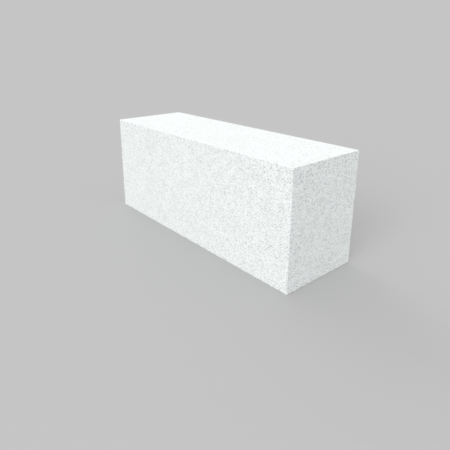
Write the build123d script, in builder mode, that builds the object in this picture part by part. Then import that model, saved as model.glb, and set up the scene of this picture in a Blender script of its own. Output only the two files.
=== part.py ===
from build123d import *
import os

# A solid block of aerated concrete, cut to size by wires on all six sides.
# It lies on its bed face as it would in a course: +X runs along the block,
# +Y through the wall and +Z up. The origin is the centre of the bed face.

# Overall size of the block, in millimetres
length = 625.0
thickness = 200.0
height = 250.0

# Wire cutting leaves straight arrises, which handling rubs to a small radius.
arris_radius = 1.0

# The block is one piece: its bed outline drawn up to the course height.
with BuildPart() as block:
    with BuildSketch(Plane.XY) as bed_outline:
        Rectangle(length, thickness)
    extrude(amount=height)
    fillet(block.edges(), radius=arris_radius)

block.part.label = "block"

os.makedirs("parts", exist_ok=True)
export_step(block.part, "parts/block.step")
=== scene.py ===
import itertools
import math

import bpy
import numpy as np
from mathutils import Matrix, Vector
from mathutils.geometry import delaunay_2d_cdt


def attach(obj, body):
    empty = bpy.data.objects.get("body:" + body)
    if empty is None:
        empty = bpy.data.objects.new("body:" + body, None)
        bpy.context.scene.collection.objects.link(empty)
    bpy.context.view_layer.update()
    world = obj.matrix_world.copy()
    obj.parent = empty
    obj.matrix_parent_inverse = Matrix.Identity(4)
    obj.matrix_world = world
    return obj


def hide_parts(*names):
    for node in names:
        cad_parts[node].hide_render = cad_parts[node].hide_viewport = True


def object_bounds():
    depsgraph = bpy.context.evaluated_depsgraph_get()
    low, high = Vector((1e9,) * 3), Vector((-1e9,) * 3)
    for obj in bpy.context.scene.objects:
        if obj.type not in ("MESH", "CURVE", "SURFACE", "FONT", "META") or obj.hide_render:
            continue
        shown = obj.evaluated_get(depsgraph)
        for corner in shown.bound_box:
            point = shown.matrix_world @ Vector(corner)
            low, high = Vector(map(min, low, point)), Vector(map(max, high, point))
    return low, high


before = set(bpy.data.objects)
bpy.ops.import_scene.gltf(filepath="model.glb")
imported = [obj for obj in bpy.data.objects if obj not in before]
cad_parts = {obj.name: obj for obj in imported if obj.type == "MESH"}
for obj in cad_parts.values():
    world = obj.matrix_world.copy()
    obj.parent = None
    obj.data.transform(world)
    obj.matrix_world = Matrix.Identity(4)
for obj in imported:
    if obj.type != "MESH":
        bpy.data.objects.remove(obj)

# The looks of a block of aerated concrete: a skin that is cut flat on six sides, with the
# open pores that the wires cut through, arrises that handling has rubbed, and its material.
# The skin is worked out in millimetres and becomes metres when its mesh is made.

cad_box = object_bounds()

MM = 0.001
SEED = 7

# Open pores in the faces. Each size has its range of opening radius, how many there are in a
# square metre, and its rings of points: each ring's share of the radius and number of points.
PORE_SIZES = (
    {"radius": (1.4, 2.0), "density": 400, "rings": ((1.0, 10), (0.72, 10), (0.38, 6))},
    {"radius": (0.9, 1.4), "density": 3000, "rings": ((1.0, 8), (0.62, 8))},
    {"radius": (0.6, 0.9), "density": 9000, "rings": ((1.0, 6),)},
)
PORE_DEPTH = (0.5, 0.95)  # as a share of the opening radius
PORE_STRETCH = 0.16  # how far an opening is from round
PORE_RAGGED = 0.05  # unevenness of its rim
PORE_LEAN = 0.12  # how far its lowest point may be from its middle, as a share of the radius
PORE_GAP = 0.45  # least wall between two pores
PORE_KEEP_IN = 2.1  # least wall between a pore and the sharp edge of its face
# Open pores are painted darker the deeper they are: painted shade in their hollows
DARKEST_DEPTH = 1.5  # depth at which a pore is as dark as it gets

# Arrises
ARRIS_RADIUS = 1.0
ARRIS_SWELL = 0.25  # share by which the radius grows and shrinks along an arris
ARRIS_STEP = 3.0  # distance between stations along an arris
ARRIS_JITTER = 0.25  # how far a station may be from its even place, as a share of that distance
ARRIS_CRUMBLE = 0.9  # how rough it is, as a share of what the rounding took off
CORNER_WEAR = 0.4  # extra radius at a corner
CORNER_REACH = 4.0  # how far along the arrises that wear reaches

# The waves that the arrises swell in, in radians for each millimetre along X, Y and Z
SWELL_WAVES = (
    (0.31, 0.23, 0.27),
    (0.113, 0.157, 0.139),
    (0.83, 0.71, 0.97),
)

# Pores that an arris cuts through, which leave small nicks in it. Each has its own slot of the
# edge, and lies in the middle part of it.
NICK_SPACING = 28.0
NICK_PLACE = (0.25, 0.75)  # as shares of the slot
NICK_RADIUS = (0.9, 1.9)
NICK_DEPTH = (0.3, 0.55)  # as a share of the radius
NICK_RINGS = (1.0, 0.6)  # as shares of the radius
NICK_SEGMENTS = 4  # round the half disc that a nick takes from each of its two faces
NICK_CLEAR = 0.4  # room round a nick without the rows of the rounded arris

# The face's two rows of points beside an arris, as shares of its radius: half way round the
# quarter circle between the arris and the face, and where the flat face begins
HALF_WAY_ROW = 1 - math.tan(math.radians(22.5))
FACE_ROW = 1.0
ROWS = (HALF_WAY_ROW, FACE_ROW)

# What shades as part of a flat face: points that lie this near to its plane, and triangles that
# are this near to parallel to it
FLUSH = 0.02
NEARLY_FLAT = math.cos(math.radians(3))

# How points are told apart: decimals on a face, decimals where faces meet, and the distance at
# which the triangulation joins two points
FACE_DECIMALS = 4
WELD_DECIMALS = 3
SAME_POINT = 1e-4

# Each face: the corner it starts from, as signs of the half sizes, and its two directions. The
# first direction turned towards the second gives the outward normal.
FACES = {
    "front": ((-1, -1, -1), (1, 0, 0), (0, 0, 1)),
    "back": ((1, 1, -1), (-1, 0, 0), (0, 0, 1)),
    "top": ((-1, -1, 1), (1, 0, 0), (0, 1, 0)),
    "bed": ((-1, 1, -1), (1, 0, 0), (0, -1, 0)),
    "right": ((1, -1, -1), (0, 1, 0), (0, 0, 1)),
    "left": ((-1, 1, -1), (0, -1, 0), (0, 0, 1)),
}

# The faces side by side on the flat sheet of the UV map, in two columns
SHEET_COLUMNS = (("front", "back", "top", "bed"), ("right", "left"))
SHEET_MARGIN = 6.0

box_low = np.array(cad_box[0]) / MM
box_high = np.array(cad_box[1]) / MM
box_centre = (box_low + box_high) / 2
box_half = (box_high - box_low) / 2
corner_signs = np.array(list(itertools.product((-1, 1), repeat=3)))
box_corners = box_centre + corner_signs * box_half


def arris_radius(places):
    """The arris radius near each place: it swells along the arrises and is larger at the corners."""
    waves = np.sin(places @ np.array(SWELL_WAVES).T).mean(axis=1)
    reach = np.linalg.norm(places[:, None, :] - box_corners[None, :, :], axis=2).min(axis=1)
    wear = CORNER_WEAR * np.exp(-((reach / CORNER_REACH) ** 2))
    return ARRIS_RADIUS * (1 + ARRIS_SWELL * waves) + wear


def cap_depth(share, radius, depth):
    """Depth of a hollow shaped as a spherical cap, at a share of its opening radius."""
    ball = (radius**2 + depth**2) / (2 * depth)
    return math.sqrt(ball**2 - (share * radius) ** 2) - (ball - depth)


POINT_KEYS = ("places", "pushes", "pores", "rims")


class Points:
    """Points of one face: where each lies on the sharp box, how far it is pushed in, which pore or
    nick it belongs to and whether it is on that one's rim. A point of no pore has the number -1."""

    def __init__(self):
        self.places, self.pushes, self.pores, self.rims = [], [], [], []
        self.joined = []  # pairs of points that the triangles must join
        self.count = 0

    def add(self, places, push=(0.0, 0.0, 0.0), pore=-1, rim=False):
        """Adds points that share everything but their places, and returns their numbers."""
        places = np.atleast_2d(places)
        size = len(places)
        self.places.append(places)
        self.pushes.append(np.tile(np.array(push, float), (size, 1)))
        self.pores.append(np.full(size, pore))
        self.rims.append(np.full(size, rim))
        self.count += size
        return list(range(self.count - size, self.count))

    def join(self, numbers, ring=True):
        """Makes a ring of points, or an open chain, that the triangles must follow."""
        self.joined += list(zip(numbers, numbers[1:]))
        if ring:
            self.joined.append((numbers[-1], numbers[0]))


class Edge:
    """One of the block's twelve edges, with its stations and the nicks in it."""

    def __init__(self, signs, rng, first_pore):
        self.signs = signs
        axis = signs.index(0)
        self.along = np.eye(3)[axis]
        self.start = box_centre + np.array(signs) * box_half - self.along * box_half[axis]
        self.length = 2 * box_half[axis]
        self.inward = -np.array(signs) / math.sqrt(2)
        self.nicks = self.spread_nicks(rng, first_pore)
        ends = arris_radius(np.array([self.start, self.start + self.along * self.length]))
        self.plain = self.spread_stations(rng, ends)
        # Stations at both ends, in line with the rows beside the edges that it meets there
        near, far = ends
        self.corner_rows = [0.0, HALF_WAY_ROW * near, near]
        self.corner_rows += [self.length - far, self.length - HALF_WAY_ROW * far, self.length]

    def spread_nicks(self, rng, first_pore):
        """The nicks, one in each slot of the edge: number, middle, radius and depth."""
        count = int(self.length / NICK_SPACING)
        slot = self.length / count
        nicks = []
        for i in range(count):
            radius = rng.uniform(*NICK_RADIUS)
            middle = (i + rng.uniform(*NICK_PLACE)) * slot
            depth = radius * rng.uniform(*NICK_DEPTH)
            nicks.append((first_pore + i, middle, radius, depth))
        return nicks

    def spread_stations(self, rng, ends):
        """Places of the plain stations between the two corners, clear of the nicks."""
        room = self.length - ends.sum()
        count = int(room / ARRIS_STEP)
        jitter = rng.uniform(-ARRIS_JITTER, ARRIS_JITTER, count - 1)
        steps = ends[0] + room * (np.arange(1, count) + jitter) / count
        for _, middle, radius, _ in self.nicks:
            steps = steps[np.abs(steps - middle) > radius + NICK_CLEAR]
        return steps

    def at(self, distances):
        """Places on the sharp edge at these distances from its start."""
        return self.start + np.outer(np.atleast_1d(distances), self.along)

    def add_stations(self, points):
        """Adds the points on the edge itself, which both its faces share."""
        points.add(self.at(self.corner_rows + list(self.plain)))
        for pore, middle, radius, depth in self.nicks:
            points.add(self.at(middle), self.inward * depth, pore)

    def add_rows(self, points, across):
        """Adds the rows beside the edge on one face, which lies in the direction across."""
        stations = self.at(self.plain)
        radii = arris_radius(stations)[:, None]
        for row in ROWS:
            points.add(stations + across * radii * row)

    def add_nicks(self, points, across):
        """Adds the half rings of the edge's nicks on one face."""
        angles = np.linspace(0, math.pi, NICK_SEGMENTS + 1)
        half_disc = np.outer(np.cos(angles), self.along) + np.outer(np.sin(angles), across)
        for pore, middle, radius, depth in self.nicks:
            for share in NICK_RINGS:
                places = self.at(middle) + share * radius * half_disc
                push = self.inward * cap_depth(share, radius, depth)
                ring = points.add(places, push, pore, rim=share == 1.0)
                points.join(ring, ring=False)


def make_edges(rng):
    """The twelve edges, and the number of their nicks. The signs of an edge say which side of the
    block it is on, with 0 for the axis that it runs along."""
    edges = []
    first_pore = 0
    for signs in itertools.product((-1, 0, 1), repeat=3):
        if signs.count(0) == 1:
            edges.append(Edge(signs, rng, first_pore))
            first_pore += len(edges[-1].nicks)
    return edges, first_pore


def scatter(width, height, taken, rng):
    """Middles, radii and rings of a face's pores, the largest size first, clear of each other and
    of the nicks."""
    middles = np.array([middle for middle, _ in taken])
    radii = np.array([radius for _, radius in taken])
    found = []
    for size in PORE_SIZES:
        wanted = int(size["density"] * width * height * MM**2)
        while wanted:
            radius = rng.uniform(*size["radius"])
            inset = PORE_KEEP_IN + radius
            middle = rng.uniform((inset, inset), (width - inset, height - inset))
            room = np.hypot(*(middles - middle).T) - radii - radius
            if room.min() > PORE_GAP:
                middles = np.vstack([middles, middle])
                radii = np.append(radii, radius)
                found.append((middle, radius, size["rings"]))
                wanted -= 1
    return found


def add_pore(points, place, u, v, radius, rings, pore, rng):
    """Adds one open pore: rings of points on a cap, a little out of round, and its lowest point."""
    inward = -np.cross(u, v)
    depth = radius * rng.uniform(*PORE_DEPTH)
    turn, lean = rng.uniform(0, 2 * math.pi, 2)
    for share, count in rings:
        angles = turn + 2 * math.pi * np.arange(count) / count
        oval = 1 + PORE_STRETCH * np.cos(2 * (angles - lean))
        reach = oval + rng.uniform(-1, 1, count) * PORE_RAGGED
        reach *= share * radius / (1 + PORE_STRETCH)
        offsets = np.outer(reach * np.cos(angles), u) + np.outer(reach * np.sin(angles), v)
        push = inward * cap_depth(share, radius, depth)
        ring = points.add(place + offsets, push, pore, rim=share == 1.0)
        points.join(ring)
    off_middle = rng.uniform(-PORE_LEAN, PORE_LEAN, 2) * radius
    points.add(place + off_middle[0] * u + off_middle[1] * v, inward * depth, pore)


def add_corners(points, start, u, v, size):
    """Adds the points where the rows beside two edges cross, at each corner of a face."""
    for along, up in itertools.product((0, 1), repeat=2):
        corner = start + u * size[0] * along + v * size[1] * up
        radius = arris_radius(corner[None, :])[0]
        for a, b in itertools.product(ROWS, repeat=2):
            step = u * a * (1 - 2 * along) + v * b * (1 - 2 * up)
            points.add(corner + step * radius)


def face_points(start, u, v, edges, first_pore, rng):
    """All the points of one face: its edges, their rows and nicks, the corners and the pores. With
    them comes the number of the next face's first pore."""
    points = Points()
    size = np.array([abs(u @ box_half), abs(v @ box_half)]) * 2
    normal = np.cross(u, v)
    taken = []
    for edge in edges:
        if np.dot(edge.signs, normal) <= 0:
            continue
        across = normal - np.array(edge.signs)
        edge.add_stations(points)
        edge.add_rows(points, across)
        edge.add_nicks(points, across)
        for _, middle, radius, _ in edge.nicks:
            offset = edge.at(middle)[0] - start
            taken.append((np.array([offset @ u, offset @ v]), radius))
    add_corners(points, start, u, v, size)
    pores = scatter(size[0], size[1], taken, rng)
    for number, (middle, radius, rings) in enumerate(pores):
        place = start + u * middle[0] + v * middle[1]
        add_pore(points, place, u, v, radius, rings, first_pore + number, rng)
    return points, first_pore + len(pores)


def sheet_places():
    """Where each face's first corner lies on the UV sheet, and the length of the sheet's side."""
    corners = {}
    left = SHEET_MARGIN
    side = 0.0
    for column in SHEET_COLUMNS:
        low = SHEET_MARGIN
        widest = 0.0
        for name in column:
            _, u, v = FACES[name]
            corners[name] = np.array([left, low])
            low += 2 * abs(np.dot(v, box_half)) + SHEET_MARGIN
            widest = max(widest, 2 * abs(np.dot(u, box_half)))
        left += widest + SHEET_MARGIN
        side = max(side, left, low)
    return corners, side


def triangulate(flat, joined):
    """Triangles over a face's points, with the rims of its pores kept."""
    vertices = [Vector(p) for p in flat]
    _, _, triangles, origins, _, _ = delaunay_2d_cdt(vertices, joined, [], 0, SAME_POINT)
    first = np.array([o[0] for o in origins])
    return first[np.array(triangles)]


def build_skin():
    """The whole skin as arrays: places, pushes and marks of its points, its triangles and the UV
    places of their corners."""
    rng = np.random.default_rng(SEED)
    edges, pore = make_edges(rng)
    sheet, side = sheet_places()
    stacks = {key: [] for key in POINT_KEYS}
    triangles, uvs = [], []
    total = 0
    for name, (signs, u, v) in FACES.items():
        u, v = np.array(u, float), np.array(v, float)
        start = box_centre + np.array(signs) * box_half
        points, pore = face_points(start, u, v, edges, pore, rng)
        places = np.vstack(points.places)
        flat = np.round((places - start) @ np.stack([u, v], axis=1), FACE_DECIMALS)
        found = triangulate(flat, points.joined)
        for key in POINT_KEYS:
            stacks[key].append(np.concatenate(getattr(points, key)))
        triangles.append(found + total)
        uvs.append((flat[found] + sheet[name]) / side)
        total += points.count
    skin = {key: np.concatenate(parts) for key, parts in stacks.items()}
    skin["triangles"] = np.vstack(triangles)
    skin["uvs"] = np.vstack(uvs).reshape(-1, 2)
    return weld(skin)


def weld(skin):
    """Joins the points that faces share along their edges, and drops those in no triangle."""
    keys = np.round(skin["places"], WELD_DECIMALS)
    _, first, number = np.unique(keys, axis=0, return_index=True, return_inverse=True)
    corners = number.reshape(-1)[skin["triangles"]]
    used, back = np.unique(corners, return_inverse=True)
    for key in POINT_KEYS:
        skin[key] = skin[key][first][used]
    skin["triangles"] = back.reshape(-1, 3)
    return skin


def round_arrises(skin, rng):
    """Moves the points from the sharp box on to its rounded arrises and into the pores."""
    places = skin["places"]
    radii = arris_radius(places)[:, None]
    inner = np.clip(places, box_low + radii, box_high - radii)
    out = places - inner
    reach = np.linalg.norm(out, axis=1, keepdims=True)
    taken_off = reach - radii
    crumble = rng.uniform(0, ARRIS_CRUMBLE, (len(places), 1)) * taken_off
    return inner + out / reach * (radii - crumble) + skin["pushes"]


def rim_edges(mesh, skin):
    """Which of the mesh's edges lie along the rim of a pore or a nick."""
    ends = np.zeros(2 * len(mesh.edges), int)
    mesh.edges.foreach_get("vertices", ends)
    a, b = ends.reshape(-1, 2).T
    same_pore = skin["pores"][a] == skin["pores"][b]
    return skin["rims"][a] & skin["rims"][b] & same_pore


def flat_normals(places, skin):
    """Normals for the triangles' corners that make each face shade flat right up to its pores, and
    its arrises run smoothly into it. Zero leaves a corner the normal that it has."""
    triangles = skin["triangles"]
    a, b, c = np.moveaxis(places[triangles], 1, 0)
    normals = np.cross(b - a, c - a)
    normals /= np.linalg.norm(normals, axis=1, keepdims=True)
    on_face = (places > box_high - FLUSH).astype(float) - (places < box_low + FLUSH)
    wanted = on_face[triangles]
    flat = np.abs(normals).max(axis=1) > NEARLY_FLAT
    wanted[flat] = np.round(normals[flat])[:, None, :]
    pushed = np.linalg.norm(skin["pushes"], axis=1) > FLUSH
    wanted[pushed[triangles].any(axis=1)] = 0
    return wanted.reshape(-1, 3)


def make_block():
    """The block's visible mesh, with its sharp rims, the depth of its pores, its UV map and normals."""
    skin = build_skin()
    places = round_arrises(skin, np.random.default_rng(SEED + 1))
    # Share of the darkest depth at each point, which the open pores' painted shade grows with
    depth = np.linalg.norm(skin["pushes"], axis=1) / DARKEST_DEPTH
    mesh = bpy.data.meshes.new("block_skin")
    mesh.from_pydata(places * MM, [], skin["triangles"])
    mesh.shade_smooth()
    sharp = mesh.attributes.new("sharp_edge", "BOOLEAN", "EDGE")
    sharp.data.foreach_set("value", rim_edges(mesh, skin))
    darkness = mesh.attributes.new("pore_depth", "FLOAT", "POINT")
    darkness.data.foreach_set("value", np.clip(depth, 0, 1))
    sheet = mesh.uv_layers.new(name="OFBake")
    sheet.data.foreach_set("uv", skin["uvs"].ravel())
    mesh.validate()
    mesh.normals_split_custom_set(flat_normals(places, skin))
    block = bpy.data.objects.new("block_skin", mesh)
    bpy.context.scene.collection.objects.link(block)
    return block


class Nodes:
    """Adds and joins the nodes of one material."""

    def __init__(self, tree):
        self.tree = tree
        tree.nodes.clear()

    def add(self, kind, inputs=None, **settings):
        """A new node. Its inputs are given by name or number, as values or as nodes' outputs."""
        node = self.tree.nodes.new("ShaderNode" + kind)
        for name, value in settings.items():
            setattr(node, name, value)
        for name, value in (inputs or {}).items():
            if isinstance(value, bpy.types.NodeSocket):
                self.tree.links.new(value, node.inputs[name])
            else:
                node.inputs[name].default_value = value
        return node

    def math(self, operation, first, second, clamp=False):
        """One number worked out from two."""
        inputs = {0: first, 1: second}
        return self.add("Math", inputs, operation=operation, use_clamp=clamp).outputs[0]

    def spread(self, value, from_range, to_range, smooth=False):
        """A number moved from one range to another, and kept inside it."""
        inputs = {
            "Value": value,
            "From Min": from_range[0],
            "From Max": from_range[1],
            "To Min": to_range[0],
            "To Max": to_range[1],
        }
        kind = "SMOOTHSTEP" if smooth else "LINEAR"
        return self.add("MapRange", inputs, interpolation_type=kind).outputs[0]

    def noise(self, place, size, detail):
        """Noise with features of this size, mostly between the two ends of NOISE_RANGE."""
        inputs = {"Vector": place, "Scale": 1 / size, "Detail": detail}
        return self.add("TexNoise", inputs).outputs["Fac"]

    def blend(self, factor, first, second, kind="MIX"):
        """A colour between two, or their product."""
        inputs = {"Factor": factor, 6: first, 7: second}
        return self.add("Mix", inputs, data_type="RGBA", blend_type=kind).outputs[2]


# Colours are written as scene-linear red, green and blue
CONCRETE = (0.936, 0.969, 0.964, 1.0)
# Painted shade that the hollows of the pores, in the mesh and in the material, take towards their
# floors
PORE_SHADE = (0.20, 0.22, 0.22, 1.0)
WHITE = (1.0, 1.0, 1.0, 1.0)

# Pores too small for the mesh, in two sizes, painted darker towards their floors as painted shade
# and sunk by the bump. Each size fills space with cells that hold one pore each, so that a face cuts
# them at every height, as the wires do. The rim's range and the floor are shares of the cell and of
# the rim, and the shallowest pore is a share of the deepest.
SMALL_PORES = {
    "cell": 2.6 * MM,
    "rim": (0.05, 0.48),
    "floor": 0.4,
    "shallowest": 0.3,
    "shade": 0.7,
    "depth": 0.3 * MM,
}
FINE_PORES = {
    "cell": 1.6 * MM,
    "rim": (0.60, 0.95),
    "floor": 0.5,
    "shallowest": 0.0,
    "shade": 0.7,
    "depth": 0.2 * MM,
}
PORE_RARITY = 2.0  # the power that makes wide and deep pores rarer than narrow and shallow ones
# The open pores of the mesh take painted shade in their hollows, up to this share
OPEN_PORE_SHADE = 0.6  # how far the darkest open pore of the mesh goes towards the pore shade
DRAWN_OUT = (0.75, 0.75, 1.0)  # the wires draw pores and grain out sideways, a third wider than high
LATTICE_TURN = (0.5, 0.7, 0.4)  # radians, so that no face is parallel to the lattice of the cells
# Painted light: the top and the bed take less of the pores' painted shade, so the top renders lighter
# and calmer
BED_CALM = 0.6  # contrast of the pores on the top and the bed, where 1 is that of the other faces

# The cut paste is rough, and its grains are painted lighter where they stand up and darker between
# them, as painted light on its bump. Slow clouds lie over it.
GRAIN_SIZE = 1.4 * MM
GRAIN_DETAIL = 3.0
GRAIN_HEIGHT = 0.15 * MM
GRAIN_PAINTED_LIGHT = (0.97, 1.02)
CLOUD_SIZE = 45 * MM
CLOUD_DETAIL = 2.0
CLOUD_LIGHT = (0.985, 1.01)
NOISE_RANGE = (0.3, 0.7)
ROUGHNESS = (0.86, 0.96)
SPECULAR_LEVEL = 0.25


def pore_layer(nodes, place, pores):
    """How far a place is inside a pore of one size, from 0 outside to 1 at its floor."""
    cells = nodes.add("TexVoronoi", {"Vector": place, "Scale": 1 / pores["cell"]}, feature="F1")
    chance = nodes.add("SeparateColor", {0: cells.outputs["Color"]}).outputs
    width = nodes.math("POWER", chance[0], PORE_RARITY)
    rim = nodes.spread(width, (0.0, 1.0), pores["rim"])
    floor = nodes.math("MULTIPLY", rim, pores["floor"])
    depth = nodes.math("POWER", chance[1], PORE_RARITY)
    deep = nodes.spread(depth, (0.0, 1.0), (pores["shallowest"], 1.0))
    return nodes.spread(cells.outputs["Distance"], (rim, floor), (0.0, deep), smooth=True)


def aerated_concrete():
    """Matt white cellular stone: small pores with painted shade, grain and slow clouds of lighter and
    darker paste.
    """
    material = bpy.data.materials.new("aerated_concrete")
    material.use_nodes = True
    nodes = Nodes(material.node_tree)
    places = nodes.add("TexCoord").outputs
    turned = {"Vector": places["Object"], "Rotation": LATTICE_TURN, "Scale": DRAWN_OUT}
    place = nodes.add("Mapping", turned).outputs[0]
    grain = nodes.noise(place, GRAIN_SIZE, GRAIN_DETAIL)
    clouds = nodes.noise(place, CLOUD_SIZE, CLOUD_DETAIL)
    open_pore = nodes.add("Attribute", attribute_name="pore_depth").outputs["Fac"]
    # How upright a face is sets how much painted pore shade it takes: less on the top and the bed
    upright = nodes.add("SeparateXYZ", {0: places["Normal"]}).outputs[2]
    level = nodes.math("ABSOLUTE", upright, 0.0)
    contrast = nodes.spread(level, (0.0, 1.0), (1.0, BED_CALM))

    # Painted shade in the mesh's open pores, darker the deeper they are
    colour = nodes.blend(nodes.math("MULTIPLY", open_pore, OPEN_PORE_SHADE), CONCRETE, PORE_SHADE)
    height = nodes.math("MULTIPLY", grain, GRAIN_HEIGHT)
    # Painted shade in the small and fine pores, darkest at their floors, which the bump sinks too
    for pores in (SMALL_PORES, FINE_PORES):
        hollow = pore_layer(nodes, place, pores)
        shade = nodes.math("MULTIPLY", contrast, pores["shade"])
        colour = nodes.blend(nodes.math("MULTIPLY", hollow, shade), colour, PORE_SHADE)
        height = nodes.math("SUBTRACT", height, nodes.math("MULTIPLY", hollow, pores["depth"]))

    # Painted light on the raised grains, times the clouds' own lighter and darker paste
    light = nodes.math(
        "MULTIPLY",
        nodes.spread(grain, NOISE_RANGE, GRAIN_PAINTED_LIGHT),
        nodes.spread(clouds, NOISE_RANGE, CLOUD_LIGHT),
    )
    tone = nodes.add("CombineColor", {0: light, 1: light, 2: light}).outputs[0]
    bump = nodes.add("Bump", {"Height": height, "Strength": 1.0, "Distance": 1.0}).outputs[0]
    inputs = {
        "Base Color": nodes.blend(1.0, colour, tone, "MULTIPLY"),
        "Roughness": nodes.spread(grain, NOISE_RANGE, ROUGHNESS),
        "Normal": bump,
        "Specular IOR Level": SPECULAR_LEVEL,
    }
    surface = nodes.add("BsdfPrincipled", inputs)
    nodes.add("OutputMaterial", {"Surface": surface.outputs[0]})
    return material


# Studio light. Directions are in degrees and go from the block to the lamp: azimuth 0 is in
# front of the long face and 90 beyond the right end. Softness is the angle that a lamp fills. A
# level is the brightness that a white face shows which is turned to that light alone.
SKY_LEVEL = 0.875
LAMPS = {
    "key": {"azimuth": 15.0, "elevation": 28.0, "level": 0.36, "softness": 40.0},
    "fill": {"azimuth": -102.0, "elevation": 26.0, "level": 0.159, "softness": 40.0},
}
FLOOR_SHADE = (0.503, 0.503, 0.503)
FLOOR_SIZE = 200.0  # metres, so wide that its far edge lies close to the horizon
FLOOR_GAP = 0.1 * MM  # under the bed, so that the two faces don't flicker


def direction(azimuth, elevation):
    """Unit vector from the block towards a place round it, as the camera and lamps use it."""
    a, e = math.radians(azimuth), math.radians(elevation)
    return Vector((math.sin(a) * math.cos(e), -math.cos(a) * math.cos(e), math.sin(e)))


def add_lamps():
    """Soft lamps so far away that every part of the floor is as bright."""
    for name, lamp in LAMPS.items():
        light = bpy.data.lights.new(name, "SUN")
        light.energy = math.pi * lamp["level"]
        light.angle = math.radians(lamp["softness"])
        towards = direction(lamp["azimuth"], lamp["elevation"])
        holder = bpy.data.objects.new(name, light)
        holder.rotation_euler = towards.to_track_quat("Z", "Y").to_euler()
        bpy.context.scene.collection.objects.link(holder)


def backdrop_shade():
    """The shade that the open floor renders, which the backdrop takes too."""
    level = SKY_LEVEL
    for lamp in LAMPS.values():
        level += lamp["level"] * math.sin(math.radians(lamp["elevation"]))
    return [level * c for c in FLOOR_SHADE]


def add_world():
    """Even light from all round, and for the camera and reflections a backdrop like the floor."""
    world = bpy.data.worlds.new("studio")
    bpy.context.scene.world = world
    world.use_nodes = True
    nodes = Nodes(world.node_tree)
    rays = nodes.add("LightPath").outputs
    seen = nodes.math("ADD", rays["Is Camera Ray"], rays["Is Glossy Ray"])
    seen = nodes.math("ADD", seen, rays["Is Transmission Ray"], clamp=True)
    sky = nodes.add("Background", {"Color": WHITE, "Strength": SKY_LEVEL}).outputs[0]
    backdrop = nodes.add("Background", {"Color": (*backdrop_shade(), 1.0)}).outputs[0]
    mixed = nodes.add("MixShader", {0: seen, 1: sky, 2: backdrop}).outputs[0]
    nodes.add("OutputWorld", {"Surface": mixed})


def floor_paint():
    """A plain pale matt material for the floor."""
    material = bpy.data.materials.new("floor")
    material.use_nodes = True
    nodes = Nodes(material.node_tree)
    surface = nodes.add("BsdfDiffuse", {"Color": (*FLOOR_SHADE, 1.0)}).outputs[0]
    nodes.add("OutputMaterial", {"Surface": surface})
    return material


def add_floor():
    """A wide flat floor that the block lies on."""
    half = FLOOR_SIZE / 2
    height = cad_box[0].z - FLOOR_GAP
    corners = [(x, y, height) for x, y in ((-half, -half), (half, -half), (half, half), (-half, half))]
    mesh = bpy.data.meshes.new("floor")
    mesh.from_pydata(corners, [], [(0, 1, 2, 3)])
    mesh.materials.append(floor_paint())
    floor = bpy.data.objects.new("floor", mesh)
    bpy.context.scene.collection.objects.link(floor)
    return floor


# The camera, fitted to the seven corners of the block that the photograph shows. Its angles are
# in degrees like the lamps', and its distance and step in metres from the block's middle.
FRAME_PIXELS = 450
FOCAL_PIXELS = 432.9
MIDDLE_PIXEL = (219.12, 175.41)  # where the camera's axis meets the picture
CAMERA_AZIMUTH = 49.856
CAMERA_ELEVATION = 17.339
CAMERA_DISTANCE = 1.0683
CAMERA_STEP = (-0.00248, 0.01666)  # to the right and up from the line through the block's middle
SENSOR_WIDTH = 36.0


def add_camera():
    """The camera at the photograph's viewing angle."""
    camera = bpy.data.cameras.new("camera")
    camera.sensor_width = SENSOR_WIDTH
    camera.lens = FOCAL_PIXELS / FRAME_PIXELS * SENSOR_WIDTH
    camera.shift_x = (FRAME_PIXELS / 2 - MIDDLE_PIXEL[0]) / FRAME_PIXELS
    camera.shift_y = (MIDDLE_PIXEL[1] - FRAME_PIXELS / 2) / FRAME_PIXELS
    camera.clip_end = 2 * FLOOR_SIZE
    back = direction(CAMERA_AZIMUTH, CAMERA_ELEVATION)
    right = Vector((0, 0, 1)).cross(back).normalized()
    up = back.cross(right)
    turn = Matrix((right, up, back)).transposed().to_4x4()
    middle = (cad_box[0] + cad_box[1]) / 2
    place = middle + back * CAMERA_DISTANCE + right * CAMERA_STEP[0] + up * CAMERA_STEP[1]
    holder = bpy.data.objects.new("camera", camera)
    holder.matrix_world = Matrix.Translation(place) @ turn
    bpy.context.scene.collection.objects.link(holder)
    bpy.context.scene.camera = holder


block = make_block()
block.data.materials.append(aerated_concrete())
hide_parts("block")
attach(block, "root")
add_floor()
add_lamps()
add_world()
add_camera()
bpy.context.scene.view_settings.view_transform = "Standard"
